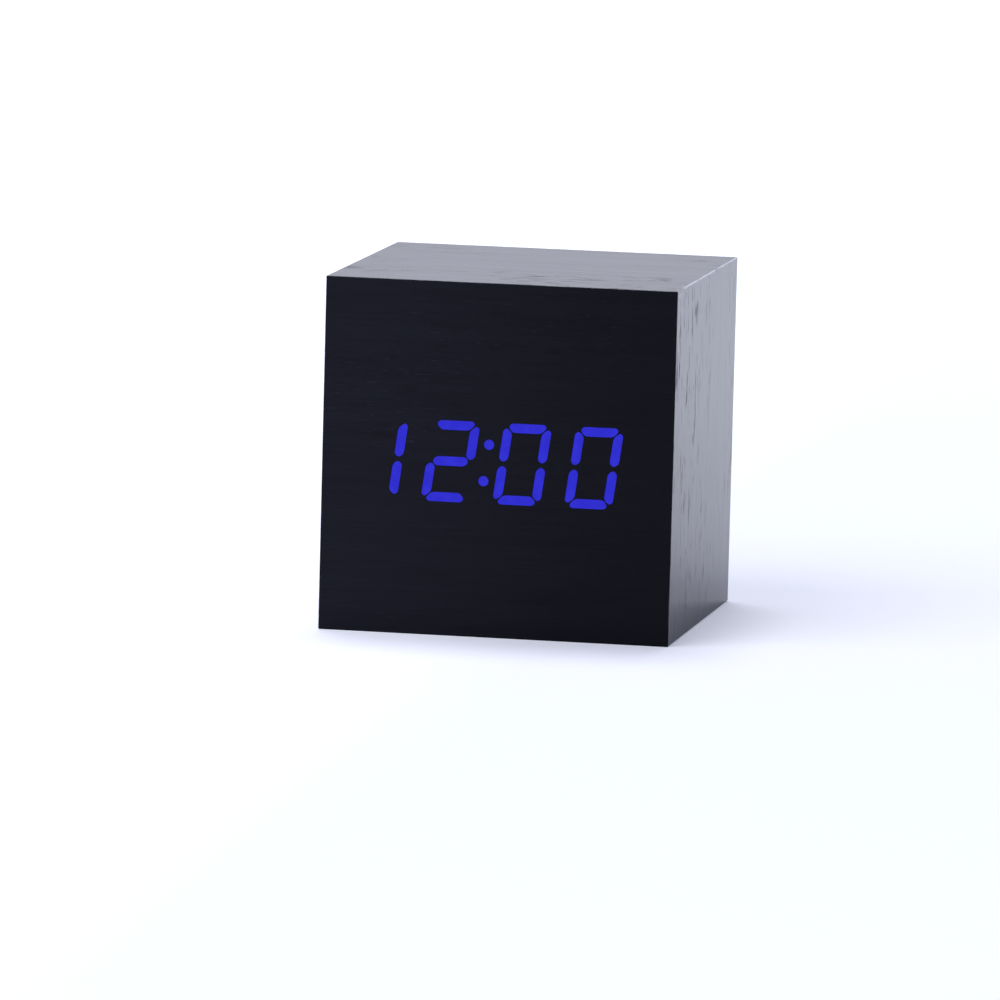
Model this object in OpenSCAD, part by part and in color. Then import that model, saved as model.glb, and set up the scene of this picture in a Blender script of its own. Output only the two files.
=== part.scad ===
// Cube clock: a mitred wooden case with a four-digit light display behind the film on its front,
// a control plate in its back, and a battery box with a hinged door in its base.
// Millimetres. +Z is up, the front faces -Y, and the origin is the middle of the base.

/* [Case] */
// Width of the cube, left to right
case_w = 62; // [56:1:80]
// Depth of the cube, front to back
case_d = 62; // [54:1:80]
// Height of the cube
case_h = 62; // [56:1:80]
// Thickness of the boards
board_t = 3.5; // [2.8:0.1:3.5]
// Radius of the edges around the top and up the corners
edge_r = 0.15; // [0.1:0.05:0.8]
// Radius of the edges around the base
base_r = 0.3; // [0.2:0.1:1.2]
// Thickness of the wood-grain film on the front
film_t = 0.3; // [0.2:0.1:0.5]

/* [Time shown] */
// Tens of hours
digit_1 = 1; // [0:1:9]
// Hours
digit_2 = 2; // [0:1:9]
// Tens of minutes
digit_3 = 0; // [0:1:9]
// Minutes
digit_4 = 0; // [0:1:9]

/* [Display] */
// Sideways place of the display's middle
display_x = -1.9; // [-2:0.1:2]
// Height of the display's middle
display_z = 30.6; // [28:0.1:33]
// Width of a digit
digit_w = 8.44; // [7.6:0.02:8.44]
// Height of a digit
digit_h = 14.2; // [13:0.1:14.2]
// Thickness of a light bar
bar_t = 1.6; // [1.3:0.05:1.7]
// Lean of the digits in degrees
lean = 7.5; // [0:0.5:7.5]
// Diameter of the colon's dots
dot_d = 1.75; // [1.4:0.05:2]
// Height of the colon's upper dot above the display's middle
dot_rise = 3.2; // [2.6:0.1:4]
// Height of the segment mask
mask_h = 19; // [18:0.5:20]
// Depth of the segment mask
mask_d = 7.7; // [7:0.1:9]
// Gap between the segment mask and the nearer side board
mask_side_gap = 0.35; // [0.1:0.05:0.5]
// Gap between the display board and the top board
display_board_top_gap = 4.4; // [2:0.1:6]
// Thickness of the circuit boards
pcb_t = 1.6; // [1.2:0.1:2]

/* [Controls] */
// Height of the control plate's middle
control_z = 40; // [34:0.5:42]
// Distance from the control plate to the sides of the cube
plate_margin = 4; // [3.5:0.1:4.5]
// Land of the control plate above and below its opening
plate_land_z = 3; // [2:0.5:5]
// Gap between one button and the next
button_spacing = 3; // [2.8:0.1:4]
// Travel of a button
button_travel = 0.3; // [0.2:0.05:0.4]
// Bore of the power socket
socket_d = 3.7; // [3.5:0.1:4]
// Diameter of the power socket's centre pin
socket_pin_d = 1.3; // [1:0.1:1.4]
// Depth of the power socket
socket_depth = 9.5; // [8:0.5:11]

/* [Batteries] */
// Diameter of a cell
cell_d = 10.5; // [10:0.1:11.5]
// Gap between one cell and the next
cell_spacing = 0.5; // [0.4:0.1:0.9]
// Gap between the battery box and the side boards
box_side_gap = 1.95; // [1.6:0.05:2.5]
// Length of a contact spring under load
spring_l = 3.6; // [3.2:0.1:3.8]
// Wire of a contact spring
spring_wire = 0.5; // [0.4:0.05:0.6]
// Wall of the battery box
box_wall = 1.5; // [1.4:0.1:1.7]
// Thickness of the flanges let into the boards
flange_t = 1.5; // [1.4:0.1:1.8]
// Thickness of the battery door
door_t = 1.5; // [1.2:0.1:1.6]
// Radius of the battery door's hinge edge
hinge_r = 1.1; // [1:0.05:1.2]
// Diameter of the battery door's hinge pins
hinge_pin_d = 1.4; // [1:0.1:1.5]
// Diameter of the battery leads
lead_d = 1.2; // [0.8:0.1:1.4]

/* [Fits] */
// Gap around a piece let into a board
seat_gap = 0.2; // [0.1:0.05:0.25]
// Gap around a light bar
light_gap = 0.03; // [0.02:0.01:0.05]
// Radial gap of a running pin
run_gap = 0.05; // [0.03:0.01:0.08]
// Gap around a moving piece
move_gap = 0.3; // [0.25:0.05:0.4]
// Gap around a screw in its hole
screw_gap = 0.02; // [0.01:0.01:0.05]

/* [Hidden] */
$fn = 48;

// Colours of the preview
wood = [0.10, 0.10, 0.12];
film = [0.12, 0.12, 0.14];
blue = [0.15, 0.15, 0.85];
smoke = [0.14, 0.14, 0.16];
black = [0.05, 0.05, 0.05];
plastic = [0.13, 0.13, 0.14];
green = [0.05, 0.30, 0.15];
steel = [0.70, 0.70, 0.72];
white = [0.90, 0.90, 0.86];
jacket = [0.63, 0.64, 0.65];
red = [0.75, 0.08, 0.06];

// Places that the case gives
front_y = -case_d / 2;
back_y = case_d / 2;
front_inner_y = front_y + board_t;
inner_w = case_w - 2 * board_t;
past = 1;
arc_steps = 3;

// Screws: countersunk ones hold plastic to wood, small round-headed ones hold boards to plastic
wood_screw_r = 1.0;
wood_screw_head_r = 1.9;
wood_screw_rim = 0.2;
wood_screw_l = 6;
board_screw_r = 0.6;
board_screw_head_r = 1.3;
board_screw_head_t = 0.8;
board_screw_flat_r = 0.91;
board_screw_rim = 0.4;
board_screw_l = 4.6;
screw_tip = 0.8;
slot_w = 0.45;
slot_depth = 0.5;
slot_reach = 0.6;

// Display
bar_taper = 0.62;
bar_skew = 0.3;
bar_rounding = 0.45;
bar_end_gap = 0.14;
middle_end_gap = 0.46;
bar_split = 0.56;
bar_drop = 0.02;
row_z = (digit_h - bar_t) / 2;
column_x = (digit_w - bar_t) / 2;
tall_bar_l = row_z - bar_drop - bar_split / 2;
tall_bar_z = (row_z - bar_drop + bar_split / 2) / 2;
digits = [digit_1, digit_2, digit_3, digit_4];
bar_names = "abcdefg";
bars_lit = ["abcdef", "bc", "abged", "abgcd", "fgbc", "afgcd", "afgedc", "abc", "abcdefg", "abcdfg"];
bar_places = [
  [0, row_z], [column_x, tall_bar_z], [column_x, -tall_bar_z], [0, -row_z],
  [-column_x, -tall_bar_z], [-column_x, tall_bar_z], [0, 0]
];
flat_bar_l = 2 * column_x - bar_end_gap;
middle_bar_l = 2 * column_x - middle_end_gap;
bar_lengths = [flat_bar_l, tall_bar_l, tall_bar_l, flat_bar_l, tall_bar_l, tall_bar_l, middle_bar_l];
// How far the two points of each bar sit towards the outside of the digit
bar_skews = bar_skew * [[1, 1], [0, -1], [-1, 0], [-1, -1], [1, 0], [0, 1], [0, 0]];
mask_rim = 0.6;
mask_y = front_y + film_t;
mask_flange_t = 1.5;
mask_flange_side = 0.5;
mask_w = inner_w - 2 * (abs(display_x) + mask_side_gap + mask_flange_side);
digit_pitch = (mask_w - 2 * mask_rim - digit_w - digit_h * tan(lean)) / (len(digits) - 1);
first_digit_x = -digit_pitch * (len(digits) - 1) / 2;
mask_boss_r = 2.2;
mask_boss_inset = 4.5;
mask_boss_gap = 0.2;
mask_boss_x = mask_w / 2 - mask_boss_inset;
mask_boss_z = mask_h / 2 + mask_boss_r + mask_boss_gap;
mask_flange_h = 2 * (mask_boss_z + mask_boss_r);
led_room = 1.0;
led_w = 0.8;
led_t = 0.45;
bar_depth = mask_d - led_room;
board_front_y = mask_y + mask_d;
board_back_y = board_front_y + pcb_t;
display_board_gap = 1;
display_board_drop = 0.3;
display_board_w = inner_w - 2 * display_board_gap;
display_board_z = display_z - mask_flange_h / 2 - display_board_drop;
display_board_top_z = case_h - board_t - display_board_top_gap;

// Pieces on the back of the display board, from the display's middle or down from the board's top
chip_drop = 6.1;
chip_at = [-6, display_board_top_z - chip_drop - display_z];
chip_size = [18, 7.5];
chip_t = 2.3;
chip_leg_l = 1.4;
chip_leg_pitch = 1.27;
chip_leg_w = 0.45;
chip_leg_t = 0.25;
chip_leg_count = 14;
chip_dot_inset = 1.5;
chip_dot_r = 0.45;
chip_dot_depth = 0.25;
chip_top_y = board_back_y + chip_leg_t + chip_t;
crystal_drop = 5.6;
crystal_at = [12, display_board_top_z - crystal_drop - display_z];
crystal_r = 1.0;
crystal_l = 6;
crystal_lead_r = 0.2;
crystal_lead_pitch = 1;
crystal_lead_l = 1.6;
buzzer_at = [-12, -3];
buzzer_r = 6;
buzzer_t = 7;
buzzer_hole_r = 1;
buzzer_hole_depth = 1;
capacitor_at = [2, -4];
capacitor_r = 2.5;
capacitor_t = 7;
capacitor_bead = 0.3;
capacitor_bead_w = 0.6;
capacitor_bead_rise = 0.9;
transistor_at = [21, -3];
transistor_pitch = 4;
transistor_count = 3;
transistor_size = [2.9, 1.3];
transistor_leg = [0.4, 2.4];
transistor_leg_pitch = 1.9;
transistor_t = 1.1;
transistor_leg_t = 0.3;
resistor_at = [-12, -11.2];
resistor_pitch = 2.4;
resistor_count = 7;
resistor_size = [1.25, 2.0];
resistor_t = 0.55;
battery_header_at = [16, -7.5];
battery_header_size = [6.5, 4.5];
key_header_rise = 8.5;
key_header_size = [8, 4.2];
header_t = 5;
header_floor = 1.2;
header_wall = 0.7;

// Control plate and what hangs on it
plate_recess = 0.2;
plate_corner_r = 2;
plate_face_y = back_y - plate_recess;
plate_under_y = plate_face_y - flange_t;
plate_land_x = 4.5;
plate_w = case_w - 2 * plate_margin;
opening_w = plate_w - 2 * plate_land_x;
jack_w = 7;
control_boss_r = 1.5;
control_boss_gap = 0.1;
control_boss_land = 0.4;
control_boss_z = jack_w / 2 + control_boss_gap + control_boss_r;
opening_h = 2 * (control_boss_z + control_boss_r + control_boss_land);
plate_h = opening_h + 2 * plate_land_z;
opening_corner_r = 1.5;
skirt_wall = 1.0;
skirt_d = 2.5;
plate_screw_x = (plate_w - plate_land_x) / 2;
control_end_gap = 0.6;
control_half = opening_w / 2 - seat_gap - skirt_wall;
button_lip = 0.9;
button_end_gap = 0.4;
// Two pitches, half a button and its lip reach from the middle to the gap beside the skirt
control_pitch = (control_half - button_end_gap - button_lip + button_spacing / 2) / (2 + 1 / 2);
button_x = [-2 * control_pitch, -control_pitch, 0];
jack_x = control_half - control_end_gap - jack_w / 2;
microphone_x = jack_x / 2;
control_boss_x = [(button_x[0] + button_x[1]) / 2, (microphone_x + jack_x) / 2];
switch_size = 6;
switch_t = 3.5;
plunger_r = 1.75;
plunger_out = 0.8;
plunger_in = 0.9;
plunger_gap = 0.1;
plunger_spare = 0.2;
plunger_well = plunger_in + button_travel + plunger_spare;
button_d = control_pitch - button_spacing;
button_flange_r = button_d / 2 + button_lip;
button_flange_t = 0.95;
button_stop_gap = 0.05;
button_gap = 0.2;
button_face_drop = 0.1;
button_mark = 0.25;
arrow_mark_r = 1.5;
round_mark_r = 0.9;
button_chamfer = 0.3;
dish_land = 1.15;
dish_r = button_d / 2 + button_gap + dish_land;
dish_depth = 0.6;
boss_l = switch_t + plunger_out + button_flange_t + button_stop_gap;
control_board_y = plate_under_y - boss_l;
control_board_gap_x = 0.75;
control_board_gap_z = 0.5;
control_board_w = opening_w - 2 * control_board_gap_x;
control_board_h = opening_h - 2 * control_board_gap_z;
jack_wall = 0.95;
jack_nose_r = socket_d / 2 + jack_wall;
jack_nose_drop = 0.1;
jack_floor = 1.7;
jack_lug_t = 1;
jack_lug_w = 4;
jack_lug_inset = 1.5;
jack_lug_h = control_board_h - 2 * jack_lug_inset;
jack_mouth_y = plate_face_y - jack_nose_drop;
jack_back_y = jack_mouth_y - socket_depth - jack_floor;
jack_pin_drop = 1.2;
notch_gap = 0.15;
microphone_r = 3;
microphone_t = 3;
microphone_hole_r = 0.6;
microphone_lead_r = 0.25;
microphone_lead_pitch = 2.54;

// Battery box
base_recess = 0.4;
box_corner_r = 2;
door_inset = 0.1;
door_z = base_recess + door_inset;
cell_lift = 0.4;
bay_gap = 0.15;
cell_r = cell_d / 2;
bay_r = cell_r + bay_gap;
cell_z = door_z + door_t + cell_lift + cell_r;
cell_pitch = cell_d + cell_spacing;
bay_y = [-cell_pitch, 0, cell_pitch];
cell_dir = [1, -1, 1];
box_l = inner_w - 2 * box_side_gap;
cavity_l = box_l - 2 * box_wall;
cell_l = cavity_l - spring_l;
cavity_spare = 0.4;
cavity_w = len(bay_y) * cell_pitch + cavity_spare;
box_w = cavity_w + 2 * box_wall;
box_top_z = cell_z + bay_r + box_wall;
box_land = 2.5;
screw_land = 0.7;
box_screw_inset = 2;
box_flange_l = box_l + 2 * box_land;
box_screw_y = box_w / 2 + wood_screw_head_r + screw_land;
box_screw_x = box_l / 2 - box_screw_inset;
box_flange_w = 2 * (box_screw_y + wood_screw_head_r + screw_land);
contact_t = 0.4;
contact_w = 8;
contact_gap = 0.05;
tail_w = 2;
tail_out = 2.5;
tail_top_z = box_top_z + tail_out;
tip_r = 1.9;
tip_l = 0.8;
cell_edge_r = 0.6;
touch_gap = 0.02;
spring_turns = 3;
spring_steps = 14;
spring_sides = 6;
spring_wide_r = 3.6;
spring_narrow_r = 2.0;

// Battery door
hinge_y = -cavity_w / 2 + move_gap + hinge_r;
hinge_z = door_z + hinge_r;
hinge_web = 0.25;
hinge_end_gap = 0.25;
hinge_hole_l = box_wall - hinge_web;
hinge_pin_l = hinge_hole_l - hinge_end_gap;
door_l = cavity_l - 2 * move_gap;
door_back_y = cavity_w / 2 - move_gap;
tongue_w = 9;
tongue_l = 7;
tongue_slot = 0.8;
tongue_lip_t = 1.2;
tongue_lip_h = 1.6;
tongue_nub = 0.15;
keeper_h = 1.2;
grip_count = 3;
grip_w = 6;
grip_t = 0.7;
grip_pitch = 1.6;
grip_rise = 0.2;
grip_inset = 1.5;
finger_r = 5;
finger_depth = 0.9;

// Leads and the flat cable
lead_sides = 8;
lead_steps = 5;
lead_pitch = 2.5;
lead_rise = 3;
lead_bow = 0.4;
lead_run_in = 2;
lead_turn = 5;
cable_w = 6.4;
cable_t = 0.9;
cable_steps = 6;
cable_sag = 9;
cable_run_in = 4;
cable_dip = 0.6;
cable_gap = 0.15;
cable_jack_gap = 2.4;
battery_header_x = display_x + battery_header_at[0];
battery_header_z = display_z + battery_header_at[1];
key_header_x = jack_x - jack_w / 2 - cable_jack_gap - cable_w / 2;
key_header_z = display_z + key_header_rise;
key_header_at = [key_header_x - display_x, key_header_rise];
lead_plug_y = board_back_y + header_floor + touch_gap;
tail_x = cavity_l / 2 + contact_gap / 2 + contact_t / 2;
red_route = [
  [tail_x, bay_y[0], tail_top_z + touch_gap],
  [tail_x, bay_y[0], tail_top_z + lead_rise / 2],
  [tail_x, bay_y[0], tail_top_z + lead_rise],
  [(tail_x + battery_header_x) / 2, board_back_y + header_t + lead_turn, battery_header_z + lead_rise / 2],
  [battery_header_x + lead_pitch / 2, board_back_y + header_t + lead_run_in, battery_header_z],
  [battery_header_x + lead_pitch / 2, lead_plug_y, battery_header_z]
];
black_route = [
  [-tail_x, bay_y[2], tail_top_z + touch_gap],
  [-tail_x, bay_y[2], tail_top_z + lead_rise / 2],
  [-tail_x, bay_y[2], tail_top_z + lead_rise],
  [-tail_x / 2, bay_y[1], tail_top_z + lead_rise + lead_bow],
  [0, (bay_y[0] + bay_y[1]) / 2, tail_top_z + lead_rise],
  [battery_header_x - 2 * lead_pitch, board_back_y + header_t + lead_turn, battery_header_z + lead_bow],
  [battery_header_x - lead_pitch / 2, board_back_y + header_t + lead_run_in, battery_header_z],
  [battery_header_x - lead_pitch / 2, lead_plug_y, battery_header_z]
];
cable_start_y = control_board_y - pcb_t - cable_gap;
cable_end_y = board_back_y + header_floor + touch_gap;
cable_route = [
  [cable_start_y, control_z],
  [cable_start_y - cable_run_in, control_z - cable_dip],
  [(2 * cable_start_y + cable_end_y) / 3, min(control_z, key_header_z) - cable_sag],
  [(cable_start_y + 2 * cable_end_y) / 3, min(control_z, key_header_z) - cable_sag],
  [cable_end_y + header_t + lead_bow, key_header_z - cable_dip],
  [cable_end_y, key_header_z]
];

// Shapes shared by several pieces

function arc(centre, r, from, to) =
  [for (i = [0:arc_steps]) let(a = from + (to - from) * i / arc_steps) centre + r * [cos(a), sin(a)]];

// Section of a board whose ends are mitred and whose outer corners are rounded, outer face on y = 0
function board_section(span, radii) = concat(
  [[-span / 2 + board_t, board_t]],
  arc([-span / 2 + radii[0], radii[0]], radii[0], 225, 270),
  arc([span / 2 - radii[1], radii[1]], radii[1], 270, 315),
  [[span / 2 - board_t, board_t]]
);

module mitred_board(size, radii_x, radii_y) {
  intersection() {
    rotate([90, 0, 0])
      linear_extrude(size[1], center = true)
        polygon(board_section(size[0], radii_x));
    rotate([90, 0, 90])
      linear_extrude(size[0], center = true)
        polygon(board_section(size[1], radii_y));
  }
}

module rounded_rect(size, r) {
  square([size[0] - 2 * r, size[1]], center = true);
  square([size[0], size[1] - 2 * r], center = true);
  for (x = [-1, 1], y = [-1, 1])
    translate([x * (size[0] / 2 - r), y * (size[1] / 2 - r)])
      circle(r);
}

module box_at(size, place) {
  translate([place[0] - size[0] / 2, place[1] - size[1] / 2, place[2]])
    cube(size);
}

// Countersunk screw pointing down, its head flush with z = 0
module wood_screw(grow) {
  cone = wood_screw_head_r - wood_screw_r;
  rotate_extrude()
    polygon([
      [0, 0], [wood_screw_head_r + grow, 0], [wood_screw_head_r + grow, -wood_screw_rim],
      [wood_screw_r + grow, -wood_screw_rim - cone], [wood_screw_r + grow, screw_tip - wood_screw_l],
      [0, -wood_screw_l - grow]
    ]);
}

// Round-headed screw pointing down, the seat of its head on z = 0
module board_screw(grow) {
  rotate_extrude()
    polygon([
      [0, board_screw_head_t], [board_screw_flat_r, board_screw_head_t],
      [board_screw_head_r, board_screw_rim], [board_screw_head_r, 0], [board_screw_r + grow, 0],
      [board_screw_r + grow, screw_tip - board_screw_l], [0, -board_screw_l - grow]
    ]);
}

// Cross slot that reaches over a share of its head
module cross_slot(r) {
  for (a = [0, 90])
    rotate([0, 0, a])
      box_at([2 * slot_reach * r, slot_w, slot_depth + past], [0, 0, -slot_depth]);
}

module slotted_wood_screw() {
  difference() {
    wood_screw(0);
    cross_slot(wood_screw_head_r);
  }
}

module slotted_board_screw() {
  difference() {
    board_screw(0);
    translate([0, 0, board_screw_head_t])
      cross_slot(board_screw_head_r);
  }
}

// A unit vector, and the directions that a tube keeps along its route
function unit(v) = v / norm(v);
function heading(p, i) = unit(p[min(i + 1, len(p) - 1)] - p[max(i - 1, 0)]);
function square_to(v, t) = unit(v - (v * t) * t);
function first_side(t) = square_to(abs(t[2]) < 0.8 ? [0, 0, 1] : [1, 0, 0], t);
function sides_along(p) = [
  for (i = 0, v = first_side(heading(p, 0));
       i < len(p);
       i = i + 1, v = square_to(v, heading(p, min(i, len(p) - 1)))) v
];

// Smooth curve through the points of a route
function between(a, b, c, d, t) = 0.5 * (
  2 * b + (c - a) * t + (2 * a - 5 * b + 4 * c - d) * t * t + (3 * b - a - 3 * c + d) * t * t * t);
function smooth(p, steps) = concat(
  [for (i = [0:len(p) - 2]) for (j = [0:steps - 1])
    between(p[max(i - 1, 0)], p[i], p[i + 1], p[min(i + 2, len(p) - 1)], j / steps)],
  [p[len(p) - 1]]
);

module tube(p, r, n) {
  side = sides_along(p);
  points = [for (i = [0:len(p) - 1]) for (k = [0:n - 1])
    p[i] + r * (cos(360 * k / n) * side[i] + sin(360 * k / n) * cross(heading(p, i), side[i]))];
  walls = [for (i = [0:len(p) - 2]) for (k = [0:n - 1])
    [i * n + k, (i + 1) * n + k, (i + 1) * n + (k + 1) % n, i * n + (k + 1) % n]];
  first_end = [for (k = [0:n - 1]) k];
  last_end = [for (k = [n - 1:-1:0]) (len(p) - 1) * n + k];
  polyhedron(points, concat([first_end], walls, [last_end]), convexity = 6);
}

// Light bars

function turn(p, upright) = upright ? [-p[1], p[0]] : p;
function leaning(p) = [p[0] + p[1] * tan(lean), p[1]];
function bar_upright(k) = bar_places[k][0] != 0;

// Six corners of a bar, pointed at both ends, that lean with the digit
function bar_corners(k, grow) =
  let(
    half = bar_lengths[k] / 2 + grow,
    rise = bar_t / 2 + grow,
    taper = bar_taper * rise / (bar_t / 2),
    skew = bar_skews[k],
    flat = [
      [half, skew[1] * rise], [half - taper * (1 - skew[1]), rise], [taper * (1 - skew[0]) - half, rise],
      [-half, skew[0] * rise], [taper * (1 + skew[0]) - half, -rise], [half - taper * (1 + skew[1]), -rise]
    ]
  )
  [for (p = flat) leaning(bar_places[k] + turn(p, bar_upright(k)))];

function swing(a) = a > 180 ? a - 360 : a < -180 ? a + 360 : a;

// Points along the arc that rounds one corner of an outline, over a share of its shorter edge
function corner_arc(before, at, after, share) =
  let(
    u = unit(before - at),
    v = unit(after - at),
    half = acos(u * v) / 2,
    reach = share * min(norm(before - at), norm(after - at)),
    r = reach * tan(half),
    centre = at + unit(u + v) * r / sin(half),
    p = at + u * reach - centre,
    q = at + v * reach - centre,
    from = atan2(p[1], p[0]),
    sweep = swing(atan2(q[1], q[0]) - from)
  )
  arc(centre, r, from, from + sweep);

function rounded(p, share) =
  [for (i = [0:len(p) - 1]) each corner_arc(p[(i + len(p) - 1) % len(p)], p[i], p[(i + 1) % len(p)], share)];

function is_lit(digit, k) = len(search(bar_names[k], bars_lit[digit])) > 0;
function digit_x(i) = first_digit_x + i * digit_pitch;

module bar_face(i, k, grow) {
  translate([digit_x(i), 0])
    polygon(rounded(bar_corners(k, grow), bar_rounding));
}

module colon_faces(grow) {
  for (s = [-1, 1])
    translate(leaning([0, s * dot_rise]))
      circle(dot_d / 2 + grow);
}

// Faces of the bars that are lit, or of those that aren't
module bar_faces(lit, grow) {
  for (i = [0:len(digits) - 1])
    for (k = [0:len(bar_places) - 1])
      if (is_lit(digits[i], k) == lit)
        bar_face(i, k, grow);
}

// Stands a flat drawing up on the display, x to the right and y up, and gives it depth towards the back
module on_display(y, depth) {
  translate([display_x, y + depth, display_z])
    rotate([90, 0, 0])
      linear_extrude(depth)
        children();
}

// Stands a drawing up on the back of the display board
module on_board(at, y, depth) {
  translate([at[0], 0, at[1]])
    on_display(y, depth)
      children();
}

// Stands a piece on the row of the control plate, its z pointing out of the back of the case
module on_plate(x, y, z) {
  translate([x, y, control_z + z])
    rotate([-90, 0, 0])
      children();
}

// Case

module top_panel() {
  color(wood)
    translate([0, 0, case_h])
      rotate([180, 0, 0])
        mitred_board([case_w, case_d], [edge_r, edge_r], [edge_r, edge_r]);
}

module bottom_panel() {
  color(wood)
    difference() {
      mitred_board([case_w, case_d], [base_r, base_r], [base_r, base_r]);
      box_at([box_l + 2 * seat_gap, box_w + 2 * seat_gap, board_t + 2 * past], [0, 0, -past]);
      translate([0, 0, -past])
        linear_extrude(past + base_recess + flange_t)
          rounded_rect([box_flange_l + 2 * seat_gap, box_flange_w + 2 * seat_gap], box_corner_r);
      box_screw_places()
        wood_screw(screw_gap);
    }
}

module left_panel() {
  color(wood)
    translate([-case_w / 2, 0, case_h / 2])
      rotate([0, 90, 0])
        mitred_board([case_h, case_d], [edge_r, base_r], [edge_r, edge_r]);
}

module right_panel() {
  color(wood)
    translate([case_w / 2, 0, case_h / 2])
      rotate([0, -90, 0])
        mitred_board([case_h, case_d], [base_r, edge_r], [edge_r, edge_r]);
}

module front_board() {
  translate([0, front_y, case_h / 2])
    rotate([-90, 0, 0])
      mitred_board([case_w, case_h], [edge_r, edge_r], [edge_r, base_r]);
}

module film_slab(depth) {
  translate([-case_w, front_y - past, -past])
    cube([2 * case_w, past + depth, case_h + 2 * past]);
}

module front_panel() {
  color(wood)
    difference() {
      front_board();
      film_slab(film_t);
      on_display(front_y, board_t + past)
        square([mask_w + 2 * seat_gap, mask_h + 2 * seat_gap], center = true);
    }
}

module front_film() {
  color(film)
    difference() {
      intersection() {
        front_board();
        film_slab(film_t);
      }
      on_display(front_y - past, film_t + 2 * past) {
        bar_faces(true, light_gap);
        colon_faces(light_gap);
      }
    }
}

module rear_panel() {
  color(wood)
    difference() {
      translate([0, back_y, case_h / 2])
        rotate([90, 0, 0])
          mitred_board([case_w, case_h], [edge_r, edge_r], [base_r, edge_r]);
      on_plate(0, back_y - board_t - past, 0)
        linear_extrude(board_t + 2 * past)
          rounded_rect([opening_w, opening_h], opening_corner_r);
      on_plate(0, plate_under_y, 0)
        linear_extrude(plate_recess + flange_t + past)
          rounded_rect([plate_w + 2 * seat_gap, plate_h + 2 * seat_gap], plate_corner_r);
      plate_screw_places()
        wood_screw(screw_gap);
    }
}

// Display

module lit_segments() {
  color(blue)
    on_display(front_y, film_t + bar_depth) {
      bar_faces(true, 0);
      colon_faces(0);
    }
}

module unlit_segments() {
  color(smoke)
    on_display(mask_y, bar_depth)
      bar_faces(false, 0);
}

module mask_boss_places(y) {
  for (x = [-1, 1], z = [-1, 1])
    translate([display_x + x * mask_boss_x, y, display_z + z * mask_boss_z])
      rotate([-90, 0, 0])
        children();
}

module segment_mask() {
  color(black)
    difference() {
      union() {
        on_display(mask_y, mask_d)
          square([mask_w, mask_h], center = true);
        on_display(front_inner_y, mask_flange_t)
          square([mask_w + 2 * mask_flange_side, mask_flange_h], center = true);
        mask_boss_places(front_inner_y)
          cylinder(r = mask_boss_r, h = board_front_y - front_inner_y);
      }
      on_display(mask_y - past, mask_d + 2 * past) {
        bar_faces(true, light_gap);
        bar_faces(false, light_gap);
        colon_faces(light_gap);
      }
      mask_boss_places(board_back_y)
        board_screw(screw_gap);
    }
}

module display_board() {
  color(green)
    difference() {
      translate([-display_board_w / 2, board_front_y, display_board_z])
        cube([display_board_w, pcb_t, display_board_top_z - display_board_z]);
      mask_boss_places(board_back_y)
        board_screw(screw_gap);
    }
}

module display_screws() {
  color(steel)
    mask_boss_places(board_back_y)
      slotted_board_screw();
}

module led_chips() {
  color(white)
    on_display(board_front_y - led_t, led_t) {
      for (i = [0:len(digits) - 1])
        for (p = bar_places)
          translate([digit_x(i), 0] + leaning(p))
            square(led_w, center = true);
      for (s = [-1, 1])
        translate(leaning([0, s * dot_rise]))
          square(led_w, center = true);
    }
}

module clock_chip() {
  color(black)
    difference() {
      union() {
        on_board(chip_at, board_back_y + chip_leg_t, chip_t)
          square(chip_size, center = true);
        on_board(chip_at, board_back_y, 2 * chip_leg_t)
          for (i = [0:chip_leg_count - 1])
            translate([(i - (chip_leg_count - 1) / 2) * chip_leg_pitch, 0])
              square([chip_leg_w, chip_size[1] + 2 * chip_leg_l], center = true);
      }
      on_board(chip_at - [chip_size[0] / 2 - chip_dot_inset, 0], chip_top_y - chip_dot_depth, chip_t)
        circle(chip_dot_r);
    }
}

module crystal() {
  color(steel)
    translate([display_x + crystal_at[0], board_back_y + crystal_r, display_z + crystal_at[1]])
      rotate([0, 90, 0]) {
        cylinder(r = crystal_r, h = crystal_l, center = true);
        for (s = [-1, 1])
          translate([s * crystal_lead_pitch / 2, 0, -crystal_l / 2 - crystal_lead_l])
            cylinder(r = crystal_lead_r, h = crystal_lead_l + past);
      }
}

module buzzer() {
  color(black)
    difference() {
      on_board(buzzer_at, board_back_y, buzzer_t)
        circle(buzzer_r);
      on_board(buzzer_at, board_back_y + buzzer_t - buzzer_hole_depth, buzzer_hole_depth + past)
        circle(buzzer_hole_r);
    }
}

module capacitor() {
  color(steel)
    difference() {
      on_board(capacitor_at, board_back_y, capacitor_t)
        circle(capacitor_r);
      on_board(capacitor_at, board_back_y + capacitor_bead_rise, capacitor_bead_w)
        difference() {
          circle(capacitor_r + past);
          circle(capacitor_r - capacitor_bead);
        }
    }
}

module driver_transistors() {
  color(black)
    for (i = [0:transistor_count - 1])
      translate([0, 0, i * transistor_pitch]) {
        on_board(transistor_at, board_back_y + transistor_leg_t / 2, transistor_t)
          square(transistor_size, center = true);
        on_board(transistor_at, board_back_y, transistor_leg_t)
          for (s = [-1, 1])
            translate([s * transistor_leg_pitch / 2, 0])
              square(transistor_leg, center = true);
      }
}

module resistors() {
  color(black)
    for (i = [0:resistor_count - 1])
      on_board(resistor_at + [i * resistor_pitch, 0], board_back_y, resistor_t)
        square(resistor_size, center = true);
}

module header(at, size) {
  difference() {
    on_board(at, board_back_y, header_t)
      square(size, center = true);
    on_board(at, board_back_y + header_floor, header_t)
      square(size - 2 * [header_wall, header_wall], center = true);
  }
}

module battery_header() {
  color(white)
    header(battery_header_at, battery_header_size);
}

module key_header() {
  color(white)
    header(key_header_at, key_header_size);
}

// Controls

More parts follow.
